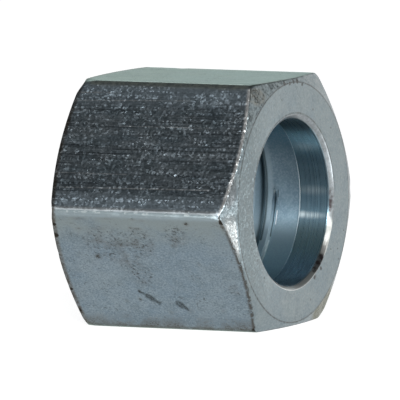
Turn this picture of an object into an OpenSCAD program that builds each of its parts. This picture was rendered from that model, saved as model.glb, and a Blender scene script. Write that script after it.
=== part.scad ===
// Hexagon tube nut in plated steel, turned from drawn hexagon bar in one piece.
// It lies on one flat with its axis along X: the tube leaves at the +X end, and the thread opens at the -X end.
// The origin is on the axis, halfway between the two end faces.

/* [Thread] */
// Nominal diameter of the inner thread
thread_d = 20.64; // [14:0.02:40]
// Distance from one thread turn to the next
thread_pitch = 1.5875; // [0.75:0.0125:3]
// How far the lead-in at the thread end stands outside the thread, on the radius
lead_margin = 0.1; // [0:0.05:0.3]

/* [Hexagon] */
// Length from end face to end face
nut_length = 20; // [12:0.5:60]
// Wall between the thread and the middle of each flat
flat_wall = 1.68; // [1:0.02:8]
// Radius of the six long corners, as drawn
corner_r = 0.75; // [0.1:0.05:1.2]

/* [Turned ends] */
// How far the round tube-end face stays inside the flats, on the radius
tube_face_inset = 0.35; // [0.1:0.05:0.8]
// Slope of the tube-end chamfer, in degrees from the face
tube_chamfer_angle = 21; // [15:1:45]
// How far the round thread-end face stays inside the flats, on the radius
thread_face_inset = 0.05; // [0.05:0.05:0.6]
// Slope of the thread-end chamfer, in degrees from the face
thread_chamfer_angle = 21; // [15:1:45]

/* [Tube bore] */
// Length of the narrow bore, from the tube-end face to the shoulder
tube_bore_length = 3.55; // [1:0.05:6]
// Chamfer round the mouth of the narrow bore
mouth_chamfer = 0.4; // [0.1:0.05:1]
// Width of the inner shoulder that pushes on the tube's sleeve, on the radius
shoulder_width = 1.36; // [0.4:0.02:3]
// Slope of the inner shoulder, in degrees from square
shoulder_angle = 25; // [5:1:60]

/* [Hidden] */
$fn = 180;

// A 60 degree inner thread is cut 5/8 of its full triangle's height deep
thread_depth = 5 / 8 * cos(30) * thread_pitch;
minor_d = thread_d - 2 * thread_depth;
tube_bore_d = minor_d - 2 * shoulder_width;
shoulder_length = shoulder_width * tan(shoulder_angle);

across_flats = thread_d + 2 * flat_wall;
// Corner arcs touch both flats, so their centres lie on a smaller hexagon
corner_centre_r = (across_flats / 2 - corner_r) / cos(30);
across_corners = 2 * (corner_centre_r + corner_r);

tube_face_r = across_flats / 2 - tube_face_inset;
thread_face_r = across_flats / 2 - thread_face_inset;
lead_r = thread_d / 2 + lead_margin;
lead_length = lead_r - minor_d / 2;

half = nut_length / 2;
shoulder_x = half - tube_bore_length;
// Cutters run past the surface they leave by this much
past = 1;

// Round shape along X, from [x, radius] points given along its outline
module turned(outline) {
    rotate([0, 90, 0])
        rotate_extrude()
            polygon([for (p = outline) [p[1], p[0]]]);
}

// Point that lies across and along a flat, once that flat is turned round the axis
function flat_point(across, along, turn) =
    [across * cos(turn) - along * sin(turn), across * sin(turn) + along * cos(turn)];

// Hexagon bar with a flat at the bottom. A straight prism holds the flats, and a rod rounds each corner.
module bar() {
    flat_half = corner_centre_r * sin(30);
    rotate([0, 90, 0])
        translate([0, 0, -half]) {
            linear_extrude(nut_length)
                polygon([for (turn = [0:60:300]) for (end = [-1, 1])
                    flat_point(across_flats / 2, end * flat_half, turn)]);
            for (turn = [30:60:330])
                rotate([0, 0, turn])
                    translate([corner_centre_r, 0, 0])
                        cylinder(r = corner_r, h = nut_length);
        }
}

// Turned envelope: both end faces are round, and each slopes back to the corners
module envelope() {
    outer_r = across_corners / 2 + past;
    turned([
        [-half, 0],
        [-half, thread_face_r],
        [-half + (outer_r - thread_face_r) * tan(thread_chamfer_angle), outer_r],
        [half - (outer_r - tube_face_r) * tan(tube_chamfer_angle), outer_r],
        [half, tube_face_r],
        [half, 0]
    ]);
}

// Everything that is drilled, bored or countersunk along the axis
module hollow() {
    turned([
        [half + past, 0],
        [half + past, tube_bore_d / 2 + mouth_chamfer + past],
        [half - mouth_chamfer, tube_bore_d / 2],
        [shoulder_x, tube_bore_d / 2],
        [shoulder_x - shoulder_length, minor_d / 2],
        [-half + lead_length, minor_d / 2],
        [-half - past, lead_r + past],
        [-half - past, 0]
    ]);
}

module tube_nut() {
    color([0.62, 0.67, 0.69])
        difference() {
            intersection() {
                bar();
                envelope();
            }
            hollow();
        }
}

tube_nut();
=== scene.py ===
from math import atan2, cos, degrees, hypot, pi, radians, sin, tan

import bmesh
import bpy
from mathutils import Matrix, Vector
from mathutils.kdtree import KDTree


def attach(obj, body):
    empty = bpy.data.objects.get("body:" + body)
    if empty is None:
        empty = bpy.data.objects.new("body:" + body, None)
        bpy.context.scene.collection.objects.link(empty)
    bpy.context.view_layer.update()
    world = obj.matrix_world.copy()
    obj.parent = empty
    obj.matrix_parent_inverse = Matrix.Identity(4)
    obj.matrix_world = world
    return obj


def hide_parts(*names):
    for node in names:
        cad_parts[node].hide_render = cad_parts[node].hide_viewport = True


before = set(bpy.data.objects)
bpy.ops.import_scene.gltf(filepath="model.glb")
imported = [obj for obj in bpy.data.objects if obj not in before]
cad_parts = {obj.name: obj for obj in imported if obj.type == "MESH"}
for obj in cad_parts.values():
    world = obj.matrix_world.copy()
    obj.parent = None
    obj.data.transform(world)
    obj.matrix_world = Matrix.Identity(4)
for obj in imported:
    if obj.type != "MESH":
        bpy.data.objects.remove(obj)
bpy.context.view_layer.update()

# Sizes of the nut, in millimetres, as in the CAD part
MM = 0.001
LENGTH = 20.0
HALF = LENGTH / 2
ACROSS_FLATS = 24.0
FLAT_R = ACROSS_FLATS / 2
CORNER_R = 0.75
# Angle from the middle of a flat to a corner
TO_CORNER = radians(30)
SHARP_CORNER_R = FLAT_R / cos(TO_CORNER)

TUBE_FACE_R = 11.65
TUBE_CHAMFER = radians(21)
THREAD_FACE_R = 11.95
THREAD_CHAMFER = radians(21)

THREAD_R = 10.32
PITCH = 1.5875
FLANK_ANGLE = radians(30)
FLANK = tan(FLANK_ANGLE)
THREAD_DEPTH = 5 / 8 * cos(FLANK_ANGLE) * PITCH
MINOR_R = THREAD_R - THREAD_DEPTH

# Place of a groove's middle on the +Y side, and the angle there at which the tap starts to cut
GROOVE_X = 3.07
GROOVE_START = 1.5
# The groove jumps to part of its depth in its first degrees, then deepens over most of a turn
GROOVE_ENTRY = 8
ENTRY_SHARE = 0.44
GROOVE_FADE = 330
FADE_FROM = 0.42
FADE_RISE = 0.58

# Hollow's outline as x and radius, with its edges rounded
SHOULDER_FOOT_X = 5.816
TUBE_BORE_R = 8.1007
SHOULDER_EDGE = ((6.406, 8.194), (6.435, 8.144), (6.475, 8.112), (6.54, TUBE_BORE_R))
TUBE_MOUTH = (
    (9.54, TUBE_BORE_R), (9.585, 8.112), (9.63, 8.140),
    (9.93, 8.440), (9.968, 8.487), (9.993, 8.535), (10.012, 8.60), (10.03, 8.70), (10.5, 8.72),
)
LEAD_START = (-8.9, 9.32)
LEAD_EDGE = ((-9.95, 10.37), (-9.982, 10.41), (-10.006, 10.47), (-10.02, 10.56), (-10.5, 10.58))

# The tap's turns, those behind GROOVE_X, and how far it stands out of the thread end
TAP_TURNS = 13
TURNS_BEHIND = 10
TAP_PAST = 1.5

# Mesh densities
FLAT_STRIPS = 28
CORNER_STEPS = 8
EDGE_STEPS = 3
LENGTH_STEPS = 48
ROUND_STEPS = 180
# Rings that the end faces are divided by
TUBE_FACE_RINGS = (11.2, 10.7, 10.2, 9.7, 9.2, 8.85)
THREAD_FACE_RINGS = (11.6, 11.2, 10.9)

# How far the long corners are drawn in, and how far across the flats that reaches
ROLL = 0.9985
ROLL_FROM_R = 13.5
ROLL_REACH = 2.0
# Rounding of the edges round the two ends
TUBE_EDGE_BREAK = 0.14
THREAD_EDGE_BREAK = 0.03
SMOOTH_ANGLE = radians(20)

# Points closer than this, in metres, are one point
MERGE = 2e-6
PLUG_MERGE = 1e-6
SLICE_MERGE = 1e-7
# Slack when points are sorted by place
HAIR = 1e-3
# A face with more corners than this closes an end
END_CORNERS = 50

# Knocks from handling: place, push, and how far round it the skin gives, in millimetres
KNOCKS = (
    ((-9.5, -6.8, 11.8), (0.16, 0.1, -0.16), 1.5),
    ((9.3, -6.8, 11.8), (-0.06, 0.05, -0.1), 1.1),
    ((9.2, 6.8, 11.8), (-0.03, -0.02, -0.04), 0.8),
    ((9.1, -13.7, 0), (-0.16, 0.14, -0.03), 0.9),
    ((-9.4, -13.7, 0), (0.06, 0.07, 0), 0.9),
    ((-9.5, -11.6, -4.4), (0.12, 0.05, 0.02), 0.7),
    ((-9.6, -9.2, -7.6), (0.1, 0.05, 0.03), 0.6),
    ((-9.4, -6.8, -11.8), (0.08, 0.05, 0.06), 1),
    ((-2, -13.7, 0), (0, 0.05, 0), 0.8),
    ((4.6, -13.7, 0), (0, 0.04, 0), 0.7),
    ((-9.3, 13.7, 0), (0.09, -0.09, 0), 1.1),
    ((9.2, 13.7, 0), (-0.06, -0.07, 0), 0.9),
    ((3, 13.7, 0), (0, -0.06, 0), 0.9),
    ((-5.5, 6.8, 11.8), (0, -0.03, -0.06), 0.9),
    ((9.2, 6.8, -11.8), (-0.07, -0.04, 0.07), 1),
    ((2.2, -6.8, 11.8), (0, 0.02, -0.04), 0.8),
)


# Modelling helpers

def deselect():
    for obj in list(bpy.context.selected_objects):
        obj.select_set(False)


def only(obj):
    """Make this the one selected and active object."""
    deselect()
    obj.select_set(True)
    bpy.context.view_layer.objects.active = obj


def edit(obj, mode="FACE"):
    only(obj)
    bpy.ops.object.mode_set(mode="EDIT")
    bpy.ops.mesh.select_mode(type=mode)
    bpy.ops.mesh.select_all(action="DESELECT")


def done():
    bpy.ops.object.mode_set(mode="OBJECT")


def settle():
    """Put the active object's place and turn into its mesh."""
    bpy.ops.object.transform_apply(location=True, rotation=True, scale=True)


def take_all():
    bpy.ops.mesh.select_all(action="SELECT")


def pick(obj, kind, test):
    """Select only the verts, edges or faces that pass the test."""
    mesh = bmesh.from_edit_mesh(obj.data)
    for parts in (mesh.verts, mesh.edges, mesh.faces):
        for part in parts:
            part.select = False
    mesh.normal_update()
    for part in [part for part in getattr(mesh, kind) if test(part)]:
        part.select_set(True)
    mesh.select_flush_mode()
    bmesh.update_edit_mesh(obj.data)


def face_outwards():
    take_all()
    bpy.ops.mesh.normals_make_consistent(inside=False)


def radius_of(point):
    return hypot(point.y, point.z) / MM


def run_along(edge):
    """How far an edge goes along the nut, in millimetres."""
    return abs(edge.verts[0].co.x - edge.verts[1].co.x) / MM


def axial_scale(factor):
    """Scale what is selected about the nut's axis."""
    bpy.ops.transform.resize(value=(1, factor, factor), center_override=(0, 0, 0))


def axial_shift(distance):
    bpy.ops.transform.translate(value=(distance * MM, 0, 0))


def cut_away(obj, tool):
    """Cut one closed solid out of another, and close what rounding left open."""
    only(obj)
    step = obj.modifiers.new("cut", "BOOLEAN")
    step.operation = "DIFFERENCE"
    step.solver = "EXACT"
    step.object = tool
    bpy.ops.object.modifier_apply(modifier="cut")
    bpy.data.objects.remove(tool)
    edit(obj, "VERT")
    take_all()
    bpy.ops.mesh.remove_doubles(threshold=MERGE)
    bpy.ops.mesh.select_all(action="DESELECT")
    bpy.ops.mesh.select_non_manifold()
    bpy.ops.mesh.fill_holes(sides=6)
    done()


# Outer shape: hexagon bar with turned ends

def hexagon_bar():
    """Six-sided bar lying on a flat, with rounded long corners and flats in strips."""
    deselect()
    bpy.ops.mesh.primitive_cylinder_add(
        vertices=6, radius=SHARP_CORNER_R * MM, depth=LENGTH * MM, rotation=(0, pi / 2, 0)
    )
    bar = bpy.context.object
    bar.name = "tube_nut_body"
    settle()

    edit(bar, "EDGE")
    pick(bar, "edges", lambda e: run_along(e) > 1)
    bpy.ops.mesh.bevel(
        offset=CORNER_R * tan(TO_CORNER) * MM, segments=CORNER_STEPS, profile=0.5, clamp_overlap=False
    )
    pick(bar, "edges", lambda e: 5 * MM < e.calc_length() < 15 * MM)
    bpy.ops.mesh.subdivide(number_cuts=FLAT_STRIPS - 1)
    done()
    return bar


def rolled_corners(bar):
    """Let the flats fall away a little towards the long corners, as drawing leaves them."""
    edit(bar, "VERT")
    pick(bar, "verts", lambda v: radius_of(v.co) > ROLL_FROM_R)
    bpy.ops.transform.resize(
        value=(1, ROLL, ROLL), center_override=(0, 0, 0), use_proportional_edit=True,
        proportional_edit_falloff="SHARP", proportional_size=ROLL_REACH * MM,
    )
    done()


def cap_of(mesh, side):
    """The many-sided face that closes one end."""
    caps = [f for f in mesh.faces if len(f.verts) > END_CORNERS and f.calc_center_median().x * side > 0]
    return max(caps, key=lambda f: len(f.verts))


def select_cap(obj, side):
    mesh = bmesh.from_edit_mesh(obj.data)
    index = cap_of(mesh, side).index
    pick(obj, "faces", lambda f: f.index == index)


def cap_groups(obj, side):
    """The end face's verts, sorted by how far they stand from the axis."""
    mesh = bmesh.from_edit_mesh(obj.data)
    mesh.verts.index_update()
    groups = {}
    for vert in cap_of(mesh, side).verts:
        groups.setdefault(round(radius_of(vert.co), 4), set()).add(vert.index)
    return groups


def turned_end(bar, side, face_r, slope, face_rings):
    """Slope one end back to the corners round a circular face, and ring that face."""
    edit(bar, "VERT")
    for r, indices in cap_groups(bar, side).items():
        pick(bar, "verts", lambda v: v.index in indices)
        axial_shift(-side * (r - face_r) * tan(slope))

    bpy.ops.mesh.select_mode(type="FACE")
    select_cap(bar, side)
    bpy.ops.mesh.extrude_region_move()
    bpy.ops.mesh.select_mode(type="VERT")
    for r, indices in cap_groups(bar, side).items():
        pick(bar, "verts", lambda v: v.index in indices)
        axial_scale(face_r / r)
        axial_shift(side * (r - face_r) * tan(slope))

    last = face_r
    bpy.ops.mesh.select_mode(type="FACE")
    for ring in face_rings:
        select_cap(bar, side)
        bpy.ops.mesh.extrude_region_move()
        axial_scale(ring / last)
        last = ring
    done()


def is_chamfer(face):
    return 0.5 < abs(face.normal.x) < 0.99


def is_side(face):
    return abs(face.normal.x) < 0.1


def meets(edge, one, other):
    """Whether an edge lies between a face of one kind and a face of another."""
    if len(edge.link_faces) != 2:
        return False
    a, b = edge.link_faces
    return (one(a) and other(b)) or (one(b) and other(a))


def broken_edges(bar):
    """Take the sharpness off the edges round both ends."""
    edit(bar, "EDGE")
    for side, width in ((1, TUBE_EDGE_BREAK), (-1, THREAD_EDGE_BREAK)):
        pick(bar, "edges", lambda e: e.verts[0].co.x * side > 0 and meets(e, is_chamfer, is_side))
        bpy.ops.mesh.bevel(offset=width * MM, segments=EDGE_STEPS, profile=0.5, clamp_overlap=False)
    done()


def divided_skin(bar):
    """Cut the long strips into small faces, so that the skin can be dented."""
    edit(bar, "EDGE")
    pick(bar, "edges", lambda e: run_along(e) > 5)
    bpy.ops.mesh.subdivide(number_cuts=LENGTH_STEPS - 1)
    face_outwards()
    done()


def knocked(body):
    """Push small spots of the skin in, and let their surroundings follow."""
    edit(body, "VERT")
    mesh = bmesh.from_edit_mesh(body.data)
    places = KDTree(len(mesh.verts))
    for index, vert in enumerate(mesh.verts):
        places.insert(vert.co, index)
    places.balance()
    for point, push, reach in KNOCKS:
        bpy.ops.mesh.select_all(action="DESELECT")
        mesh = bmesh.from_edit_mesh(body.data)
        mesh.verts.ensure_lookup_table()
        mesh.verts[places.find(Vector(point) * MM)[1]].select_set(True)
        bmesh.update_edit_mesh(body.data)
        bpy.ops.transform.translate(
            value=tuple(MM * step for step in push),
            use_proportional_edit=True, use_proportional_connected=True,
            proportional_edit_falloff="SMOOTH", proportional_size=reach * MM,
        )
    done()


# Hollow: bore, shoulder and thread

def drawn_line(name, points):
    """A line of [x, radius] points above the axis, drawn by extruding one vertex."""
    deselect()
    x, r = points[0]
    bpy.ops.mesh.primitive_plane_add(size=MM, location=(x * MM, 0, r * MM))
    line = bpy.context.object
    line.name = name
    settle()
    bpy.ops.object.mode_set(mode="EDIT")
    bpy.ops.mesh.select_mode(type="VERT")
    take_all()
    bpy.ops.mesh.merge(type="CENTER")
    for (x0, r0), (x1, r1) in zip(points, points[1:]):
        step = ((x1 - x0) * MM, 0, (r1 - r0) * MM)
        bpy.ops.mesh.extrude_region_move(TRANSFORM_OT_translate={"value": step})
    done()
    return line


def sliced(x, clear):
    """Cut the edited plug square across at x, and clear the side away that is named."""
    take_all()
    bpy.ops.mesh.bisect(
        plane_co=(x * MM, 0, 0), plane_no=(1, 0, 0), use_fill=True, threshold=SLICE_MERGE, **{clear: True}
    )


def tap():
    """Threaded plug with the plain wall ahead of it: one turn of the profile, screwed along the axis."""
    flat = PITCH / 16
    reach = flat + THREAD_DEPTH * FLANK
    ahead = PITCH / 2
    # The line is drawn above the axis, a quarter turn on from +Y
    first_groove = GROOVE_X + PITCH / 4 - TURNS_BEHIND * PITCH
    plug = drawn_line("tap", [
        (first_groove - ahead, MINOR_R),
        (first_groove - reach, MINOR_R),
        (first_groove - flat, THREAD_R),
        (first_groove + flat, THREAD_R),
        (first_groove + reach, MINOR_R),
        (first_groove + ahead, MINOR_R),
    ])
    turns = plug.modifiers.new("turns", "SCREW")
    turns.axis = "X"
    turns.angle = 2 * pi
    turns.screw_offset = PITCH * MM
    turns.iterations = TAP_TURNS
    turns.steps = turns.render_steps = ROUND_STEPS
    bpy.ops.object.modifier_apply(modifier="turns")

    edit(plug, "VERT")
    take_all()
    bpy.ops.mesh.remove_doubles(threshold=PLUG_MERGE)
    run_out(plug, flat, reach)
    sliced(SHOULDER_FOOT_X, "clear_outer")
    sliced(-(HALF + TAP_PAST), "clear_inner")
    done()
    return plug


def run_out(plug, flat, reach):
    """Let the groove fade in over its first turn, with a plain wall ahead of it."""
    mesh = bmesh.from_edit_mesh(plug.data)
    for vert in mesh.verts:
        angle = degrees(atan2(vert.co.z, vert.co.y))
        x = vert.co.x / MM
        # Turns past the groove's middle line through GROOVE_X
        turn = round((x - GROOVE_X) / PITCH - angle / 360)
        middle = GROOVE_X + (turn + angle / 360) * PITCH
        depth = THREAD_DEPTH * groove_share(GROOVE_START - (angle + 360 * turn))
        offset = x - middle
        if abs(offset) > reach + HAIR:
            continue
        at_root = abs(offset) < flat + HAIR
        if depth > 0 and not at_root:
            width = flat + depth * FLANK
            offset = width if offset > 0 else -width
            vert.co.x = (middle + offset) * MM
        r = MINOR_R + depth if at_root else MINOR_R
        scale = r * MM / hypot(vert.co.y, vert.co.z)
        vert.co.y *= scale
        vert.co.z *= scale
    bmesh.update_edit_mesh(plug.data)


def groove_share(angle):
    """Share of the full thread depth at this many degrees past the groove's start."""
    if angle <= 0:
        return 0.0
    if angle <= GROOVE_ENTRY:
        return ENTRY_SHARE * angle / GROOVE_ENTRY
    if angle >= GROOVE_FADE:
        return 1.0
    return min(1.0, FADE_FROM + FADE_RISE * angle / GROOVE_FADE)


def pulled_rings(start, stations):
    """Pull the selected round face along the axis through [x, radius] stations."""
    x, r = start
    for next_x, next_r in stations:
        bpy.ops.mesh.extrude_region_move()
        axial_scale(next_r / r)
        axial_shift(next_x - x)
        x, r = next_x, next_r
    face_outwards()
    done()


def boring_tool():
    """The tap, drawn on through the shoulder, the bore and the chamfer at its mouth."""
    tool = tap()
    foot = (SHOULDER_FOOT_X - HAIR) * MM
    edit(tool, "FACE")
    pick(tool, "faces", lambda f: f.calc_center_median().x > foot and len(f.verts) > END_CORNERS)
    pulled_rings((SHOULDER_FOOT_X, MINOR_R), SHOULDER_EDGE + TUBE_MOUTH)
    return tool


def countersink():
    """Cone that opens the thread end."""
    deselect()
    x, r = LEAD_START
    bpy.ops.mesh.primitive_circle_add(
        vertices=ROUND_STEPS, radius=r * MM, fill_type="NGON",
        location=(x * MM, 0, 0), rotation=(0, pi / 2, 0),
    )
    cone = bpy.context.object
    settle()
    edit(cone)
    take_all()
    pulled_rings(LEAD_START, LEAD_EDGE)
    return cone


# The whole nut

def tube_nut_body():
    bar = hexagon_bar()
    rolled_corners(bar)
    turned_end(bar, 1, TUBE_FACE_R, TUBE_CHAMFER, TUBE_FACE_RINGS)
    turned_end(bar, -1, THREAD_FACE_R, THREAD_CHAMFER, THREAD_FACE_RINGS)
    broken_edges(bar)
    divided_skin(bar)
    cut_away(bar, countersink())
    cut_away(bar, boring_tool())
    knocked(bar)
    only(bar)
    bpy.ops.object.shade_smooth_by_angle(angle=SMOOTH_ANGLE)
    evened = bar.modifiers.new("evened", "WEIGHTED_NORMAL")
    evened.keep_sharp = True
    evened.weight = 100
    bpy.ops.object.modifier_apply(modifier="evened")
    return bar


# Places on the nut

# Angles that the two front flats face, round the axis from +Y
UPPER_FRONT = 150
LOWER_FRONT = 210


def facing(angle):
    """Direction square to the axis at this angle."""
    return (0, cos(radians(angle)), sin(radians(angle)))


def on_flat(x, along, angle):
    """Point on the flat that faces this angle, along X and across from its middle line."""
    t = radians(angle)
    return (x, FLAT_R * cos(t) - along * sin(t), FLAT_R * sin(t) + along * cos(t))


def on_end(r, angle, x):
    """Point at this radius and angle round the axis."""
    return (x, r * cos(radians(angle)), r * sin(radians(angle)))


# Material helpers

def node(tree, kind, inputs=None, **props):
    made = tree.nodes.new("ShaderNode" + kind)
    for name, value in props.items():
        setattr(made, name, value)
    for name, value in (inputs or {}).items():
        socket = made.inputs[name]
        if isinstance(value, bpy.types.NodeSocket):
            tree.links.new(value, socket)
        else:
            socket.default_value = value
    return made


def smooth_step(tree, value, low, high, first, last):
    """Smooth step from first to last as the value goes from low to high."""
    inputs = {"Value": value, "From Min": low, "From Max": high, "To Min": first, "To Max": last}
    return node(tree, "MapRange", inputs, interpolation_type="SMOOTHSTEP").outputs["Result"]


def thrice(value):
    """Three equal numbers out of one. Three numbers stay as they are."""
    return value if isinstance(value, tuple) else (value,) * 3


class Finish:
    """A metal finish made of patterns that are laid out in millimetres on the nut."""

    def __init__(self, name, colours):
        self.colours = colours
        self.material = bpy.data.materials.new(name)
        self.material.use_nodes = True
        self.tree = self.material.node_tree
        self.shader = self.tree.nodes["Principled BSDF"]
        self.shader.inputs["Metallic"].default_value = 1
        place = self.add("TexCoord").outputs["Object"]
        self.place = self.add("Mapping", {"Vector": place, "Scale": thrice(1 / MM)}).outputs["Vector"]
        split = self.add("SeparateXYZ", {"Vector": self.place}).outputs
        self.x = split["X"]
        self.y = split["Y"]
        self.z = split["Z"]
        square = self.math("MULTIPLY_ADD", self.y, self.y, self.math("MULTIPLY", self.z, self.z))
        self.r = self.math("SQRT", square)

    def add(self, kind, inputs=None, **props):
        return node(self.tree, kind, inputs, **props)

    def math(self, operation, a, b=0, c=0):
        return self.add("Math", {0: a, 1: b, 2: c}, operation=operation).outputs[0]

    def vector(self, operation, a, b=(0, 0, 0), scale=1):
        """Vector sum. A length or a dot product comes out as a number."""
        inputs = {0: a}
        if operation == "SCALE":
            inputs["Scale"] = scale
        elif operation != "LENGTH":
            inputs[1] = b
        made = self.add("VectorMath", inputs, operation=operation)
        return made.outputs["Value" if operation in ("LENGTH", "DOT_PRODUCT") else "Vector"]

    def scaled(self, place, size, shift=(0, 0, 0)):
        """Places scaled so that one unit is this many millimetres, on all axes or on each."""
        inputs = {"Vector": place, "Scale": tuple(1 / s for s in thrice(size)), "Location": shift}
        return self.add("Mapping", inputs).outputs["Vector"]

    def noise(self, size, detail=2, rough=0.5, place=None, shift=(0, 0, 0)):
        """Noise from 0 to 1, with lumps of this size."""
        spot = self.scaled(place or self.place, size, shift)
        inputs = {"Vector": spot, "Scale": 1, "Detail": detail, "Roughness": rough}
        return self.add("TexNoise", inputs).outputs["Fac"]

    def ramp(self, value, low, high, first=0, last=1):
        """Smooth step from first to last as the value goes from low to high."""
        return smooth_step(self.tree, value, low, high, first, last)

    def mix(self, share, a, b):
        """Blend of two colours, each a name, three numbers or a socket."""
        made = self.add("Mix", {0: share}, data_type="RGBA")
        for socket, value in ((made.inputs[6], a), (made.inputs[7], b)):
            if isinstance(value, bpy.types.NodeSocket):
                self.tree.links.new(value, socket)
            else:
                socket.default_value = (*self.colours.get(value, value), 1)
        return made.outputs[2]

    def coat(self, share, colour):
        """Lay a colour over the finish, as strong as its share."""
        self.tint = self.mix(share, self.tint, colour)

    def both(self, *shares):
        """Share where all of these meet."""
        total = shares[0]
        for share in shares[1:]:
            total = self.math("MULTIPLY", total, share)
        return total

    def either(self, *shares):
        """Share where any of these lies."""
        total = shares[0]
        for share in shares[1:]:
            total = self.math("MAXIMUM", total, share)
        return total

    def along(self, direction):
        """Distance along a direction, in millimetres."""
        return self.vector("DOT_PRODUCT", self.place, direction)

    def off(self, value, middle):
        """How far a value is from a middle one."""
        return self.math("ABSOLUTE", self.math("SUBTRACT", value, middle))

    def polar(self, a, b):
        """Places laid out by two distances, for patterns that run round the nut."""
        return self.add("CombineXYZ", {"X": a, "Y": b}).outputs["Vector"]

    def hexagon(self):
        """Distance from the axis to the flat that a place lies on or under."""
        return self.either(*(self.math("ABSOLUTE", self.along(facing(a))) for a in (30, 90, 150)))

    def gap_to(self, face_r, slope, way, x):
        """Distance along X from a chamfer of this slope round an end face."""
        cone = self.math("MULTIPLY_ADD", self.r, -tan(slope), HALF + face_r * tan(slope))
        return self.math(way, cone, x)

    def ragged(self, size, amount):
        """Places shifted at random by up to this amount, so that outlines come out ragged."""
        spot = self.scaled(self.place, size)
        color = self.add("TexNoise", {"Vector": spot, "Scale": 1, "Detail": 3}).outputs["Color"]
        shift = self.vector("SCALE", self.vector("SUBTRACT", color, thrice(0.5)), scale=2 * amount)
        return self.vector("ADD", self.place, shift)

    def blot(self, place, centre, size):
        """Soft spot of this size round a centre: 1 at the middle, 0 outside."""
        offset = self.vector("DIVIDE", self.vector("SUBTRACT", place, centre), thrice(size))
        return self.ramp(self.vector("LENGTH", offset), 0, 1, 1, 0)

    def flat_blots(self, place, angle, spots):
        """Soft spots on the flat that faces this angle, listed by x, across and size."""
        return self.either(*(self.blot(place, on_flat(x, a, angle), size) for x, a, size in spots))

    def round_blots(self, place, *spots):
        """Soft spots listed by radius, angle, x and size."""
        return self.either(*(self.blot(place, on_end(r, angle, x), size) for r, angle, x, size in spots))

    def stroke(self, place, start, end, width):
        """Line of this width between two points: 1 inside, 0 outside."""
        start, end = Vector(start), Vector(end)
        line = end - start
        offset = self.vector("SUBTRACT", place, tuple(start))
        share = self.vector("DOT_PRODUCT", offset, tuple(line / line.length_squared))
        share = self.add("Clamp", {"Value": share}).outputs[0]
        aside = self.vector("SUBTRACT", offset, self.vector("SCALE", tuple(line), scale=share))
        return self.ramp(self.vector("LENGTH", aside), 0.35 * width, width, 1, 0)

    def strokes(self, place, angle, lines):
        """Lines on the flat that faces this angle, listed as SCRATCHES are."""
        return self.either(*(
            self.stroke(place, on_flat(x0, a0, angle), on_flat(x1, a1, angle), width)
            for x0, a0, x1, a1, width in lines
        ))

    def turn_line(self, x, r, angles, width):
        """Line that follows the thread from angle to angle. X is its place on the +Y side."""
        points = [on_end(r, angle, x + PITCH * angle / 360) for angle in angles]
        return self.either(*(self.stroke(self.place, a, b, width) for a, b in zip(points, points[1:])))

    def facets(self, size, tilt):
        """Normal tipped at random in each small cell, as on a pitted surface."""
        spot = self.scaled(self.place, size)
        color = self.add("TexVoronoi", {"Vector": spot, "Scale": 1}).outputs["Color"]
        tip = self.vector("SCALE", self.vector("SUBTRACT", color, thrice(0.5)), scale=tilt)
        normal = self.add("NewGeometry").outputs["Normal"]
        return self.vector("NORMALIZE", self.vector("ADD", normal, tip))

    def bump(self, height, depth, normal=None, strength=1):
        """Relief of this depth in millimetres."""
        inputs = {"Height": height, "Distance": depth * MM, "Strength": strength}
        if normal:
            inputs["Normal"] = normal
        return self.add("Bump", inputs).outputs["Normal"]

    def finished(self, roughness, normal):
        for name, value in (("Base Color", self.tint), ("Roughness", roughness), ("Normal", normal)):
            self.tree.links.new(value, self.shader.inputs[name])
        return self.material


# Drawn flats

# Marks on the lower front flat: x, across, reach along and across, strength
STAINS = (
    (-8.2, -6.5, 0.576, 0.38, 0.5), (-6.5, -6.1, 1.2, 0.342, 0.6), (-6.8, -4.9, 0.64, 0.266, 0.7),
    (-3.4, -6.3, 1.2, 0.342, 0.6), (-0.6, -6.3, 0.72, 0.342, 0.9), (0.4, -6.1, 0.576, 0.38, 0.4),
    (-1, -5.2, 0.48, 0.266, 0.7), (-0.3, -5.1, 0.72, 0.304, 0.9), (-0.6, -4.5, 0.48, 0.342, 0.4),
    (-5, -3.5, 1.04, 0.646, 0.6), (-4.4, -3, 0.72, 0.38, 0.4), (-2.7, -3.2, 1.2, 0.646, 0.8),
    (-0.9, -3.2, 0.8, 0.76, 0.6), (0.8, -3.2, 0.576, 0.608, 0.4), (-5.6, -1.6, 0.72, 0.532, 1),
    (-2.5, -1.9, 0.72, 0.76, 0.5), (-2.5, -1.2, 0.96, 0.494, 0.4), (-2.2, 2.4, 0.32, 0.342, 0.8),
    (-2.4, 3.4, 0.384, 0.38, 0.9), (-3.9, 3.7, 0.352, 0.342, 0.5), (-3.9, 6.2, 0.352, 0.38, 0.6),
    (5.2, -5.9, 0.544, 0.456, 1), (3.8, -4.2, 0.96, 0.38, 0.4), (3.1, -3.2, 0.544, 0.342, 0.8),
    (2.8, 4.6, 0.72, 0.608, 0.5), (0.6, 4.9, 0.48, 0.475, 0.5), (6.4, 4.4, 0.576, 0.475, 0.4),
    (5.3, -1.1, 0.352, 0.38, 0.5), (9.05, -6, 0.48, 1.33, 1), (9.1, -6.6, 0.64, 0.95, 1),
    (8.7, -6.3, 0.64, 0.57, 0.6),
)
# Cloudy places there: x, across, size
CLOUDS = (
    (-4.4, -3.2, 3), (-0.6, -3.4, 2.4), (-2.2, -1.2, 1.9),
    (-1.4, 0.4, 1.7), (3.6, -4.4, 1.8), (8.4, 1.8, 1),
)
# Short dark scratches there: x and across at each end, width
SCRATCHES = (
    (-1.9, 2.62, -0.35, 3.85, 0.2), (-1.45, 2.98, -1, 3.3, 0.46), (-0.8, 3.45, -0.4, 3.8, 0.28),
    (1.72, 3.7, 1.98, 3.92, 0.52), (2, 3.9, 2.5, 4.4, 0.26), (-2.25, 2.4, -2.05, 2.6, 0.2),
)
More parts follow.
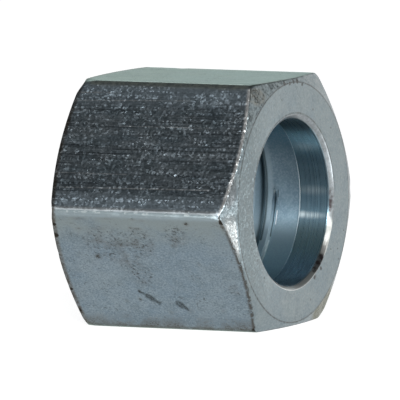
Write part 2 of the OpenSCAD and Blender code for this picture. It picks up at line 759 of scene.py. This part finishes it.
# Black grime in the notches at its borders: x, across, size
NOTCHES = (
    (9.2, -6.85, 0.65), (9.25, -6.5, 0.55), (9.05, -6.2, 0.4), (-9.35, -5.3, 0.3),
    (-9.5, -4, 0.4), (-9.7, 2.5, 0.3), (-9.5, 5, 0.35), (9.1, 6.7, 0.5),
)
# Bright lines that the die left on the upper front flat, listed likewise
DIE_LINES = (
    (-8.9, 4.42, 7.3, 4.21, 0.09), (-9.3, -5.62, -5.8, -5.7, 0.1), (-9.5, -4.75, 3, -5.1, 0.07),
    (-9.6, 2.9, -2, 2.86, 0.06), (-4, -2.2, 6, -2.3, 0.06),
)

DRAWN_COLOURS = {
    "plate": (0.158, 0.206, 0.244), "plate_light": (0.184, 0.228, 0.256),
    "top_plate": (0.155, 0.21, 0.18), "top_plate_cool": (0.132, 0.204, 0.194),
    "pale_streak": (0.33, 0.37, 0.4), "dark_streak": (0.06, 0.076, 0.09),
    "dull_patch": (0.135, 0.17, 0.19), "dark_crumb": (0.1, 0.13, 0.15), "light_crumb": (0.26, 0.31, 0.34),
    "warm_band": (0.194, 0.226, 0.226),
    "cloud": (0.1, 0.095, 0.09), "speck": (0.047, 0.049, 0.05),
    "stain_edge": (0.1, 0.085, 0.07), "stain": (0.04, 0.037, 0.033), "scratch": (0.03, 0.033, 0.035),
    # Wear with painted sheen, then a painted highlight for the top corners, then painted glints
    "wear_and_sheen": (0.216, 0.262, 0.28), "upper_corner_highlight": (0.5, 0.56, 0.52), "glint": (0.35, 0.4, 0.41),
    # Painted shade, painted sheen at the borders, and a painted highlight where the flat meets the corner
    "flat_shade": (0.05, 0.065, 0.08), "border": (0.37, 0.455, 0.52), "seam_highlight": (0.75, 0.81, 0.85),
    # The last colour on this line is a painted highlight along the flats' edge at the tube end
    "die_line": (0.5, 0.54, 0.56), "lip_highlight": (0.95, 0.97, 0.97),
    "foot_dust": (0.11, 0.098, 0.078), "rim_dust": (0.15, 0.14, 0.125),
    "grime": (0.06, 0.052, 0.042), "black_grime": (0.025, 0.022, 0.018),
}
# Zinc stays a little green where it is seen almost edge on
DRAWN_EDGE_TINT = (0.83, 0.99, 0.95, 1)


def drawn_zinc():
    """Zinc on drawn hexagon bar: pitted skin over long lines, worn corners with painted light, stains and
    grime.
    """
    f = Finish("zinc_on_drawn_flats", DRAWN_COLOURS)
    # Patterns and places that several layers share
    f.lines = f.noise((14, 0.16, 0.16), 3, 0.6)
    f.breaks = f.noise((0.5, 0.35, 0.35), 3, 0.65)
    f.coarse = f.noise((2.2, 1.6, 1.6), 3, 0.6)
    f.crumbs = f.noise((0.2, 0.14, 0.14), 2, 0.7)
    f.nicked = f.ragged(0.25, 0.12)
    f.top = f.ramp(f.z, 11.6, 11.95)
    f.shaded = f.ramp(f.along(facing(UPPER_FRONT)), 11.5, 11.9)
    f.across = f.along((0, -0.5, -cos(TO_CORNER)))
    f.tube_gap = f.gap_to(TUBE_FACE_R, TUBE_CHAMFER, "SUBTRACT", f.x)
    f.thread_gap = f.gap_to(THREAD_FACE_R, THREAD_CHAMFER, "ADD", f.x)

    plated_skin(f)
    cloudy_places(f)
    marks = scratches_over(f, stains_on(f))
    wear_and_sheen = corner_wear_and_highlights(f)
    border_shade_and_sheen(f)
    lip_highlight_and_grime(f)
    rough = f.mix(wear_and_sheen, f.mix(f.ramp(f.lines, 0.3, 0.7), thrice(0.31), thrice(0.37)), thrice(0.3))
    f.shader.inputs["Specular Tint"].default_value = DRAWN_EDGE_TINT
    return f.finished(rough, drawn_relief(f, marks))


def plated_skin(f):
    """Plating over pale and dark streaks, crumbled all over, and warmer low on the lower front flat."""
    mottle = f.noise((4, 2.5, 2.5), 4, 0.6)
    plate = f.mix(f.ramp(mottle, 0.35, 0.65), "plate", "plate_light")
    drift = f.math("MULTIPLY_ADD", f.x, 0.03, mottle)
    f.tint = f.mix(f.top, plate, f.mix(f.ramp(drift, 0.25, 0.65), "top_plate", "top_plate_cool"))

    broad = f.noise((8, 0.5, 0.5), 3, 0.6, shift=(3, 0, 5))
    broad = f.math("MULTIPLY_ADD", f.coarse, 0.5, f.both(broad, 0.5))
    f.coat(f.both(f.shaded, f.ramp(broad, 0.38, 0.6, 0, 0.5)), "pale_streak")
    f.coat(f.both(f.shaded, f.ramp(f.lines, 0.48, 0.34, 0, 0.75)), "dark_streak")
    f.coat(f.ramp(f.coarse, 0.36, 0.5, 0.45, 0), "dull_patch")
    f.coat(f.ramp(f.crumbs, 0.3, 0.5, 0.7, 0), "dark_crumb")
    f.coat(f.ramp(f.crumbs, 0.5, 0.7, 0, 0.6), "light_crumb")

    below = f.ramp(f.along(facing(LOWER_FRONT)), 11.6, 11.9)
    down = f.ramp(f.along((0, 0.5, -cos(TO_CORNER))), -2, -6)
    f.coat(f.both(below, down, f.ramp(f.coarse, 0.3, 0.6, 0.25, 0.8)), "warm_band")


def cloudy_places(f):
    """Grey clouds on the lower front flat, with dark specks in them."""
    clouds = f.ramp(f.flat_blots(f.place, LOWER_FRONT, CLOUDS), 0, 0.5)
    specks = f.ramp(f.noise((0.32, 0.24, 0.24), 3, 0.7, shift=(2, 8, 5)), 0.53, 0.64)
    drifts = f.ramp(f.noise((0.9, 0.7, 0.7), 4, 0.75), 0.44, 0.6)
    f.coat(f.both(clouds, drifts, 0.3), "cloud")
    f.coat(f.both(clouds, specks, 0.78), "speck")


def stains_on(f):
    """Stains on the lower front flat and flecks all round, and where they are."""
    stains = f.either(*(
        f.both(f.blot(f.place, on_flat(x, a, LOWER_FRONT), (length, width, width)), share)
        for x, a, length, width, share in STAINS
    ))
    f.coat(f.both(stains, f.ramp(f.crumbs, 0.3, 0.6, 0.1, 0.5)), "stain_edge")
    stains = f.ramp(f.math("MULTIPLY_ADD", stains, 0.6, f.crumbs), 0.82, 1.1)
    flecks = f.ramp(f.noise((0.32, 0.22, 0.22), 2, 0.6, shift=(7, 3, 1)), 0.54, 0.7)
    groups = f.ramp(f.noise((1.7, 1.3, 1.3), 3, 0.6, shift=(1, 4, 9)), 0.5, 0.64)
    stains = f.either(stains, f.both(flecks, groups, 0.65))
    f.coat(f.both(stains, 0.88), "stain")
    return stains


def scratches_over(f, stains):
    """Short dark scratches over the stains, and where both are."""
    scratches = f.both(f.strokes(f.nicked, LOWER_FRONT, SCRATCHES), f.ramp(f.crumbs, 0.38, 0.54, 0.35, 1))
    f.coat(f.both(scratches, 0.85), "scratch")
    return f.either(scratches, stains)


def corner_wear_and_highlights(f):
    """Bright wear with painted sheen along the long corners, painted highlights and glints, and where the
    wear is.
    """
    # Wear along the long corners, partly a painted sheen where their rounding catches light
    wear_and_sheen = f.both(
        f.ramp(f.r, 13.45, 13.62), f.ramp(f.breaks, 0.3, 0.6, 0.75, 1), f.ramp(f.z, -11, -9.8, 0.2, 1)
    )
    f.coat(wear_and_sheen, "wear_and_sheen")
    # Painted highlight on the two top corners, broken like wear
    upper = f.both(f.ramp(f.z, 11.2, 11.5), f.ramp(f.r, 13.4, 13.6), f.ramp(f.breaks, 0.35, 0.6, 0.3, 1))
    f.coat(upper, "upper_corner_highlight")
    # Painted glints along the corners, faint on the lower half of the middle front corner and none at the
    # foot
    glints = f.both(
        f.ramp(f.r, 13.56, 13.64), f.ramp(f.noise((0.6, 0.3, 0.3), 2, 0.6), 0.55, 0.64),
        f.ramp(f.z, -10, -8), f.ramp(f.across, 7, 6.85, 0.2, 1),
    )
    f.coat(glints, "glint")
    return wear_and_sheen


def border_shade_and_sheen(f):
    """Upper front flat: painted shade before its lower border, painted sheen at both borders, a painted
    highlight where it meets the corner below, and the die's lines.
    """
    # Painted shade across the flat, short of its lower border
    flat_shade = f.both(f.ramp(f.across, 1, 3.5, 0, 0.22), f.ramp(f.across, 5.2, 4.4))
    f.coat(f.both(f.shaded, flat_shade), "flat_shade")
    # Painted sheen at both borders of the flat
    border_sheen = f.either(f.ramp(f.across, -3.6, -6.2), f.ramp(f.across, 4.4, 5.8))
    f.coat(f.both(f.shaded, border_sheen, f.ramp(f.r, 13.55, 13.7, 1, 0), 0.85), "border")
    # Painted highlight where the flat meets the rounded corner below it
    seam_highlight = f.both(f.ramp(f.across, 6.3, 6.48), f.ramp(f.across, 6.78, 6.66))
    f.coat(f.both(f.shaded, seam_highlight, 0.5), "seam_highlight")
    rubbed = f.strokes(f.place, UPPER_FRONT, DIE_LINES)
    f.coat(f.both(rubbed, f.ramp(f.breaks, 0.35, 0.6, 0.1, 0.8)), "die_line")


def lip_highlight_and_grime(f):
    """Painted highlight along the flats' edge at the tube end, and grime at both ends, the foot and the
    notches.
    """
    lip = f.ramp(f.tube_gap, 0.2, 0.5, 1, 0)
    upper = f.both(f.ramp(f.z, -1.5, 1), f.ramp(f.z, 11.75, 11.6))
    # Painted highlight along the upper flats' rounded edge at the tube end
    f.coat(f.both(lip, upper, f.ramp(f.breaks, 0.22, 0.42)), "lip_highlight")
    lower_lip = f.both(
        f.ramp(f.tube_gap, 0.15, 0.5, 1, 0), f.ramp(f.z, -3, 1, 1, 0), f.ramp(f.breaks, 0.34, 0.5)
    )
    top_lip = f.both(lip, f.top, f.ramp(f.y, 3, -3, 0.2, 0.9), f.ramp(f.breaks, 0.3, 0.5, 0.3, 1))

    foot = f.both(f.ramp(f.r, 12.9, 13.7), f.ramp(f.z, -8.4, -9.6), f.ramp(f.coarse, 0.36, 0.56))
    f.coat(f.both(foot, 0.35), "foot_dust")
    foot = f.both(foot, f.ramp(f.crumbs, 0.46, 0.6))
    foot_line = f.both(f.ramp(f.z, -11.5, -11.8), f.ramp(f.breaks, 0.36, 0.56, 0.25, 0.9))
    near_rim = f.ramp(f.thread_gap, 0.2, 0.6, 1, 0)
    f.coat(f.both(near_rim, 0.5), "rim_dust")
    rim = f.both(near_rim, f.ramp(f.breaks, 0.36, 0.52), f.ramp(f.coarse, 0.4, 0.52, 0.5, 1))
    f.coat(f.both(f.either(lower_lip, top_lip, foot, foot_line, rim), 0.86), "grime")

    notches = f.flat_blots(f.nicked, LOWER_FRONT, NOTCHES)
    f.coat(f.ramp(f.math("ADD", notches, f.both(f.breaks, 0.5)), 0.4, 0.75), "black_grime")


def drawn_relief(f, marks):
    """Pits, drawing lines and marks, calmer on the top flat and along the corners."""
    calm = f.both(f.ramp(f.top, 0, 1, 1, 0.2), f.ramp(f.r, 13.6, 13.66, 1, 0.3))
    streaks = f.noise((7, 0.2, 0.2), 2, 0.6)
    tilt = f.both(
        f.ramp(streaks, 0.3, 0.7, 0.16, 0.58), calm, f.ramp(f.shaded, 0, 1, 0.55, 1),
        f.ramp(f.tube_gap, 0.1, 0.4, 0.75, 1), f.ramp(f.across, 5.6, 6.4, 1, 0.6),
    )
    relief = f.facets(0.21, tilt)
    relief = f.bump(f.lines, 0.008, relief, calm)
    relief = f.bump(f.noise((0.34, 0.24, 0.24), 1.5), 0.014, relief, calm)
    return f.bump(marks, -0.03, relief)


# Turned ends

# Soft patches at the tube end, partly painted light and shade: radius, angle, x, size
SMEAR_AND_LIGHT = (12.7, 121, 9.6, (1.5, 1.9, 1.3))
BROWN_PATCH = (12.4, 300, 9.6, (1.8, 3.6, 3))
DARKER_CHAMFER = (12.9, 169, 9.45, (1.4, 1.5, 2.4))
CHAMFER_HIGHLIGHT = (12.8, 192.5, 9.5, (1.6, 2.4, 4.1))
# Dark spots on the tube-end face: radius, angle, size
SPOTS = (
    (10.35, 38.6, 0.16), (9.35, -35, 0.2), (10.6, -31, 0.18), (11.12, -20, 0.14), (11.34, -35, 0.16),
    (11.75, 84, 0.45), (11.5, 79, 0.3), (10.4, 102, 0.14), (11.7, 88, 0.4), (11.6, 92, 0.36),
    (11.75, 97, 0.42), (12.2, 106, 0.4), (8.9, -52, 0.35), (8.75, -62, 0.4),
)
# Radius of the dark ring round the mouth
MOUTH_RING_R = 8.66

TURNED_COLOURS = {
    "plate": (0.178, 0.222, 0.242), "plate_light": (0.206, 0.246, 0.256),
    # The smear's colour is partly painted light
    "grain": (0.27, 0.31, 0.32), "fleck": (0.13, 0.165, 0.18), "smear_and_light": (0.235, 0.243, 0.225),
    # Painted shade for the face's left, then a darker patch
    "brown": (0.13, 0.138, 0.1), "left_shade": (0.13, 0.165, 0.175), "darker_patch": (0.14, 0.153, 0.16),
    # Painted highlight for the chamfer below the middle front corner
    "chamfer_highlight": (0.41, 0.435, 0.435), "grime": (0.045, 0.042, 0.038),
}


def turned_zinc():
    """Zinc on the turned faces and chamfers: matt and grainy, with faint rings, pits and grime."""
    f = Finish("zinc_on_turned_ends", TURNED_COLOURS)
    f.breaks = f.noise(0.4, 3, 0.65)
    f.frayed = f.ragged(0.4, 0.12)
    grain = f.noise(0.2, 2)
    rings = f.noise((0.16, 0.12, 1), 2, 0.6, f.polar(f.r, f.x))
    mottle = f.noise(3, 3)
    f.tint = f.mix(f.ramp(mottle, 0.35, 0.65), "plate", "plate_light")
    f.coat(f.ramp(grain, 0.3, 0.7, 0, 0.45), "grain")
    flecks = f.noise(0.7, 4, 0.7, shift=(3, 1, 6))
    f.coat(f.ramp(flecks, 0.36, 0.48, 0.4, 0), "fleck")
    patches_and_painted_light(f)
    dents = grime_on_ends(f)

    relief = f.facets(0.18, 0.26)
    relief = f.bump(rings, 0.003, relief)
    relief = f.bump(grain, 0.012, relief)
    relief = f.bump(dents, -0.02, relief)
    return f.finished(f.ramp(rings, 0.3, 0.7, 0.32, 0.4), relief)


def patches_and_painted_light(f):
    """Smear lightened as painted light, brown and darker patches, a painted chamfer highlight, and painted
    shade at the face's left.
    """
    # Brown-grey smear on the chamfer by the upper front corner, lightened as painted light
    smear_and_light = f.ramp(f.round_blots(f.frayed, SMEAR_AND_LIGHT), 0, 0.5)
    f.coat(f.both(smear_and_light, f.ramp(f.breaks, 0.35, 0.6, 0.4, 0.9)), "smear_and_light")
    brown = f.ramp(f.round_blots(f.frayed, BROWN_PATCH), 0, 0.4)
    f.coat(f.both(brown, f.ramp(f.r, 11.65, 11.8)), "brown")
    # Painted shade on the left of the face
    f.coat(f.both(f.ramp(f.y, -5, -9.5), f.ramp(f.r, 11.6, 11.75, 0.6, 0)), "left_shade")
    # Darker patch on the chamfer above the middle front corner
    darker_patch = f.both(f.round_blots(f.frayed, DARKER_CHAMFER), f.ramp(f.r, 11.7, 11.9))
    f.coat(f.both(f.ramp(darker_patch, 0, 0.4), 0.8), "darker_patch")
    # Painted highlight on the chamfer below the middle front corner
    chamfer_highlight = f.both(f.round_blots(f.frayed, CHAMFER_HIGHLIGHT), f.ramp(f.r, 11.8, 12))
    f.coat(f.both(f.ramp(chamfer_highlight, 0.05, 0.6), f.ramp(f.breaks, 0.3, 0.6, 0.35, 1)), "chamfer_highlight")


def grime_on_ends(f):
    """Pits, spots, dark edge lines and grime, and where the surface dips with them."""
    pits = f.add("TexVoronoi", {"Vector": f.place, "Scale": 0.62, "Randomness": 1}).outputs["Distance"]
    pits = f.ramp(pits, 0.045, 0.1, 1, 0)
    front = f.ramp(f.x, 9.8, 9.9)
    edge = f.ramp(f.off(f.r, TUBE_FACE_R), 0.035, 0.1, 1, 0)
    edge = f.both(edge, front, f.ramp(f.breaks, 0.3, 0.55, 0.25, 0.8))
    spots = f.round_blots(f.frayed, *((r, angle, HALF, size) for r, angle, size in SPOTS))
    spots = f.ramp(f.math("ADD", spots, f.breaks), 0.8, 1.1)
    mouth = f.ramp(f.off(f.r, MOUTH_RING_R), 0.04, 0.12, 1, 0)
    mouth = f.both(mouth, front, f.ramp(f.z, -1, 3), f.ramp(f.breaks, 0.35, 0.6, 0.2, 0.75))
    border = f.ramp(f.hexagon(), FLAT_R - 0.16, FLAT_R - 0.04)
    crack = f.both(border, f.ramp(f.z, -3, 1, 1, 0), f.ramp(f.breaks, 0.4, 0.6))
    rim = f.both(border, f.ramp(f.x, -8, -6, 1, 0), f.ramp(f.breaks, 0.42, 0.66))
    f.coat(f.both(f.either(f.both(pits, 0.8), edge, spots, mouth, crack, rim), 0.85), "grime")
    return f.either(pits, edge)


# Bore, shoulder and thread

# Painted highlights: streaks along the tube bore where reflections fall: x, angle, size, strength
BORE_HIGHLIGHT_R = 8.1
BORE_HIGHLIGHTS = (
    (6.8, -15, (1.1, 0.5, 0.5), 1), (7.8, -15.3, (2.4, 0.5, 0.5), 0.6),
    (8, 2, (2.4, 0.7, 0.7), 0.3), (7.8, 35.5, (2.2, 0.8, 0.9), 0.4),
)
# Soot at the mouth, and painted highlights on its chamfer: radius, angle, x, size
SOOT = (
    (8.22, -3, 9.72, (0.4, 0.3, 1.1)), (8.22, -9, 9.72, (0.3, 0.3, 0.7)),
    (8.4, -46.5, 9.86, (0.4, 0.75, 0.75)), (8.4, -51, 9.86, (0.4, 0.85, 0.85)),
    (8.4, -57, 9.86, (0.35, 0.8, 0.8)),
)
MOUTH_HIGHLIGHTS = ((8.3, -31, 9.8, (1, 2.2, 2.9)), (8.4, 181, 9.9, (1, 1, 1.3)))
# Radii of the lines that follow the thread, and places of its grooves' edges
CREST_R = 9.46
WALL_R = 9.8
GROOVE_EDGE_X = GROOVE_X + 0.32
NEXT_EDGE_X = GROOVE_X - PITCH + 0.68
# How strongly the bore spreads reflections along the axis
RING_SPREAD = 0.8

BORED_COLOURS = {
    "plate": (0.155, 0.245, 0.3), "plate_light": (0.18, 0.275, 0.33),
    # Painted light and shade in the bore by height
    "lit_side_low": (0.28, 0.365, 0.37), "bottom": (0.34, 0.45, 0.52), "lit_side_high": (0.35, 0.54, 0.64),
    "roof_shade": (0.1, 0.15, 0.17),
    # Painted light on the threaded wall low down, high up and further in
    "wall": (0.19, 0.285, 0.35), "wall_light": (0.24, 0.345, 0.41), "wall_bottom": (0.46, 0.6, 0.64),
    "lit_wall_high": (0.23, 0.37, 0.46), "lit_far_wall": (0.46, 0.57, 0.62), "wall_grain": (0.38, 0.48, 0.57),
    # Painted highlights for the shoulder's edge and the bore's streaks
    # Painted shade for the thread's roots
    "root": (0.085, 0.13, 0.15), "edge": (0.85, 0.93, 0.95), "bore_highlight": (0.9, 0.98, 1),
    # Painted glints for the crests and the ridge at the groove's start, and painted shade for its corners
    "crest": (0.85, 0.95, 0.95), "corner": (0.06, 0.09, 0.1), "burr_glint": (1, 1, 1),
    "inner_lip": (0.07, 0.09, 0.1), "mouth": (0.27, 0.3, 0.315), "mouth_dull": (0.12, 0.125, 0.125),
    # Painted highlights for the chamfer's lower part and two places on it
    "lit_mouth_foot": (0.55, 0.58, 0.57), "mouth_highlight": (0.9, 0.92, 0.88), "soot": (0.05, 0.036, 0.038),
}


def bored_zinc():
    """Zinc on the bore, shoulder and thread: bluish, with the tool's rings."""
    f = Finish("zinc_in_bore_and_thread", BORED_COLOURS)
    f.rings = f.noise((0.11, 0.3, 1), 2, 0.6, f.polar(f.x, f.r))
    f.grain = f.noise(0.18, 2)
    f.mottle = f.noise(1.2, 3, 0.6)
    f.deep = f.ramp(f.x, 5.4, 6.4, 1, 0)
    f.mouth = f.ramp(f.x, 9.62, 9.7)
    bore_skin(f)
    shoulder_and_bore_highlights(f)
    thread_lines(f)
    chamfered_mouth(f)
    rough = f.mix(f.deep, f.mix(f.ramp(f.rings, 0.3, 0.7), thrice(0.24), thrice(0.34)), thrice(0.34))
    rough = f.mix(f.mouth, rough, thrice(0.3))
    relief = f.bump(f.grain, 0.004, f.bump(f.rings, 0.0014))
    spread_along_axis(f)
    return f.finished(rough, relief)


def bore_skin(f):
    """Plating of the tube bore and the paler one of the threaded wall, with painted light and shade by
    height and depth, and painted shade in the roots.
    """
    plate = f.mix(f.ramp(f.mottle, 0.3, 0.7), "plate", "plate_light")
    # Painted light and shade: the bore darker across its middle, lighter above and below
    low = f.mix(f.ramp(f.z, -5, -7), "lit_side_low", "bottom")
    sides = f.mix(f.ramp(f.z, -1, 1), low, "lit_side_high")
    f.tint = f.mix(f.ramp(f.off(f.z, 0.5), 2.5, 5), plate, sides)
    # Painted shade under the top of the bore
    f.coat(f.ramp(f.z, 5.8, 7.2, 0, 0.85), "roof_shade")

    wall = f.mix(f.ramp(f.mottle, 0.3, 0.7), "wall", "wall_light")
    # Painted light on the threaded wall: lighter low down, high up and further in
    wall = f.mix(f.ramp(f.z, -2, -6), wall, "wall_bottom")
    wall = f.mix(f.ramp(f.z, 3, 6), wall, "lit_wall_high")
    wall = f.mix(f.ramp(f.x, 3.1, 2.7, 0, 0.4), wall, "lit_far_wall")
    wall = f.mix(f.ramp(f.grain, 0.42, 0.66, 0, 0.45), wall, "wall_grain")
    f.coat(f.deep, wall)
    # Painted shade in the thread's roots
    root = f.ramp(f.r, MINOR_R + 0.5, MINOR_R + 0.8)
    f.coat(f.both(root, f.ramp(f.x, -7, -3, 0.3, 0.9)), "root")


def shoulder_and_bore_highlights(f):
    """Painted highlights: a thin bright line at the shoulder's rounded edge, and bright streaks along the
    bore.
    """
    edge = f.both(f.ramp(f.x, 6.38, 6.42), f.ramp(f.x, 6.5, 6.56, 1, 0))
    # Painted highlight on the shoulder's rounded edge
    f.coat(f.both(edge, f.ramp(f.z, 2, -4, 0.7, 1)), "edge")
    # Painted highlights along the bore, broken by the tool's rings
    bore_highlight = f.either(*(
        f.both(f.round_blots(f.place, (BORE_HIGHLIGHT_R, angle, x, size)), share) for x, angle, size, share in BORE_HIGHLIGHTS
    ))
    f.coat(f.both(bore_highlight, f.ramp(f.rings, 0.3, 0.65, 0.6, 1)), "bore_highlight")


def thread_lines(f):
    """Painted glints on the crests and painted shade in the corners, along the first groove and the start
    of the next one, and a painted glint where the groove starts.
    """
    edge = GROOVE_EDGE_X
    # Painted glints along the crests
    crests = f.either(
        f.turn_line(edge - 0.42, MINOR_R + 0.1, (0, -10, -20, -29), 0.1),
        f.turn_line(edge - 0.5, WALL_R, (-30, -38, -46), 0.13),
    )
    f.coat(f.both(crests, 0.8), "crest")
    # Painted shade in the groove's corners
    corners = f.either(
        f.turn_line(edge - 0.44, WALL_R, (0, -9, -18, -27), 0.1),
        f.turn_line(NEXT_EDGE_X, CREST_R, (40, 26, 12, -2, -16, -30), 0.21),
        f.stroke(f.place, on_end(CREST_R, 0, edge), on_end(CREST_R, -4, edge), 0.09),
    )
    f.coat(f.both(corners, 0.85), "corner")
    # Painted glint on the small ridge where the groove starts
    burr_glint = f.stroke(f.place, on_end(CREST_R, -12.5, edge - 0.1), on_end(CREST_R, -20, edge - 0.12), 0.15)
    f.coat(burr_glint, "burr_glint")


def chamfered_mouth(f):
    """Chamfer at the mouth: a dark line inside it, dull places, painted highlights low down and at two
    places, and soot.
    """
    breaks = f.noise(0.4, 3, 0.65)
    inner_lip = f.both(f.ramp(f.x, 9.5, 9.54), f.ramp(f.x, 9.62, 9.68, 1, 0), f.ramp(f.z, -2, 1))
    f.coat(f.both(inner_lip, 0.8), "inner_lip")
    f.coat(f.mouth, "mouth")
    f.coat(f.both(f.mouth, f.ramp(breaks, 0.36, 0.6, 0, 0.5)), "mouth_dull")
    # Painted highlight on the lower part of the chamfer
    f.coat(f.both(f.mouth, f.ramp(f.z, -6.5, -7.6)), "lit_mouth_foot")
    # Painted highlights on the chamfer, low on the right and at the left edge
    bright = f.both(f.mouth, f.round_blots(f.place, *MOUTH_HIGHLIGHTS))
    f.coat(f.both(f.ramp(bright, 0.05, 0.4), 0.85), "mouth_highlight")
    soot = f.ramp(f.round_blots(f.ragged(0.5, 0.2), *SOOT), 0, 0.6)
    soot = f.both(soot, f.ramp(breaks, 0.3, 0.6, 0.25, 0.85), f.ramp(f.r, 8.08, 8.2))
    f.coat(soot, "soot")


def spread_along_axis(f):
    """Let the tool's rings spread each reflection along the axis."""
    f.shader.inputs["Anisotropic"].default_value = RING_SPREAD
    axis = f.add("CombineXYZ", {"X": 1}).outputs["Vector"]
    ways = {"vector_type": "VECTOR", "convert_from": "OBJECT", "convert_to": "WORLD"}
    axis = f.add("VectorTransform", {"Vector": axis}, **ways).outputs["Vector"]
    f.tree.links.new(axis, f.shader.inputs["Tangent"])


# Inward faces inside this radius are the hollow's, and others that lean this much are turned
HOLLOW_R = 10.7
TURNED_LEAN = 0.35


def painted(body):
    """Give each region of the nut the finish of the tool that made it."""
    body.data.materials.clear()
    for made in (drawn_zinc(), turned_zinc(), bored_zinc()):
        body.data.materials.append(made)
    edit(body)
    mesh = bmesh.from_edit_mesh(body.data)
    for face in mesh.faces:
        middle = face.calc_center_median()
        inwards = face.normal.y * middle.y + face.normal.z * middle.z < -0.1 * hypot(middle.y, middle.z)
        if inwards and radius_of(middle) < HOLLOW_R:
            face.material_index = 2
        elif abs(face.normal.x) > TURNED_LEAN:
            face.material_index = 1
        else:
            face.material_index = 0
    bmesh.update_edit_mesh(body.data)
    done()


# Floor, light and camera

FLOOR_SIZE = 6
FLOOR_GREY = (0.4, 0.4, 0.4, 1)
WHITE = (1, 1, 1, 1)
FLOOR_GLOW = 0.88
# Bright patches of the floor, out of view, that the nut reflects: centre, size, strength
FLOOR_PATCHES = (((0.056, 0.016, 0), (0.028, 0.03, 1), 5), ((0.004, -0.058, 0), (0.03, 0.026, 1), 4))

# Lamps: name, azimuth, elevation, distance, size, power
LAMPS = (("key", 30, 22, 1, (0.3, 0.22), 8), ("right", 74, 32, 0.6, (0.12, 0.12), 0.18))
# The surroundings fall from pale to dark between these heights
SKY_HEIGHTS = (0.22, 0.52)
SKY_LEVELS = (1.15, 0.1)

# Camera: angles in degrees, distance in metres, and its aim in millimetres to the right and up
CAMERA_AZIMUTH = 27.8
CAMERA_ELEVATION = 6.14
CAMERA_ROLL = -1.08
CAMERA_DISTANCE = 1.3483
CAMERA_AIM = (-0.224, -0.110)
CAMERA_LENS = 1250
CAMERA_SENSOR = 36
CAMERA_CLIP = (0.1, 20)


def floor():
    """Pale floor that glows a little, with brighter patches out of view."""
    deselect()
    bpy.ops.mesh.primitive_plane_add(size=FLOOR_SIZE, location=(0, 0, -FLAT_R * MM))
    plane = bpy.context.object
    plane.name = "floor"
    settle()
    material = bpy.data.materials.new("pale_floor")
    material.use_nodes = True
    tree = material.node_tree
    shader = tree.nodes["Principled BSDF"]
    shader.inputs["Base Color"].default_value = FLOOR_GREY
    shader.inputs["Roughness"].default_value = 1
    shader.inputs["Specular IOR Level"].default_value = 0
    shader.inputs["Emission Color"].default_value = WHITE
    place = node(tree, "TexCoord").outputs["Object"]
    glow = FLOOR_GLOW
    for centre, size, strength in FLOOR_PATCHES:
        offset = node(tree, "VectorMath", {0: place, 1: centre}, operation="SUBTRACT").outputs["Vector"]
        offset = node(tree, "VectorMath", {0: offset, 1: size}, operation="DIVIDE").outputs["Vector"]
        away = node(tree, "VectorMath", {0: offset}, operation="LENGTH").outputs["Value"]
        added = smooth_step(tree, away, 0.4, 1, strength, 0)
        glow = node(tree, "Math", {0: added, 1: glow}, operation="ADD").outputs[0]
    tree.links.new(glow, shader.inputs["Emission Strength"])
    plane.data.materials.append(material)


def direction_to(azimuth, elevation):
    """Direction from the nut at these angles, in degrees."""
    a, e = radians(azimuth), radians(elevation)
    return Vector((sin(a) * cos(e), -cos(a) * cos(e), sin(e)))


def placed(name, data, location, turn):
    """Add a lamp or camera at this place, with this turn."""
    obj = bpy.data.objects.new(name, data)
    bpy.context.scene.collection.objects.link(obj)
    obj.location = location
    obj.rotation_mode = "QUATERNION"
    obj.rotation_quaternion = turn
    return obj


def lamp_at(name, azimuth, elevation, distance, size, power):
    """Soft lamp that looks at the nut."""
    away = direction_to(azimuth, elevation)
    lamp = bpy.data.lights.new(name, "AREA")
    lamp.shape = "ELLIPSE"
    lamp.size, lamp.size_y = size
    lamp.energy = power
    placed(name, lamp, away * distance, away.to_track_quat("Z", "Y")).visible_camera = False


def studio():
    """Pale surroundings at table height, dark overhead, and two soft lamps."""
    world = bpy.data.worlds.new("studio")
    bpy.context.scene.world = world
    world.use_nodes = True
    tree = world.node_tree
    back = tree.nodes["Background"]
    sky = node(tree, "TexCoord").outputs["Generated"]
    height = node(tree, "SeparateXYZ", {"Vector": sky}).outputs["Z"]
    tree.links.new(smooth_step(tree, height, *SKY_HEIGHTS, *SKY_LEVELS), back.inputs["Strength"])
    back.inputs["Color"].default_value = WHITE
    for lamp in LAMPS:
        lamp_at(*lamp)


def camera():
    """Camera at the photograph's angle, turned a little about its own axis."""
    azimuth, roll = radians(CAMERA_AZIMUTH), radians(CAMERA_ROLL)
    back = direction_to(CAMERA_AZIMUTH, CAMERA_ELEVATION)
    right = Vector((cos(azimuth), sin(azimuth), 0))
    up = back.cross(right)
    right, up = cos(roll) * right + sin(roll) * up, -sin(roll) * right + cos(roll) * up
    target = (CAMERA_AIM[0] * right + CAMERA_AIM[1] * up) * MM
    lens = bpy.data.cameras.new("camera")
    lens.sensor_width = CAMERA_SENSOR
    lens.lens = CAMERA_LENS
    lens.clip_start, lens.clip_end = CAMERA_CLIP
    turn = Matrix((right, up, back)).transposed().to_quaternion()
    bpy.context.scene.camera = placed("camera", lens, target + CAMERA_DISTANCE * back, turn)


camera()
floor()
studio()
body = tube_nut_body()
painted(body)
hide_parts("tube_nut")
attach(body, "root")
bpy.context.scene.view_settings.view_transform = "Standard"
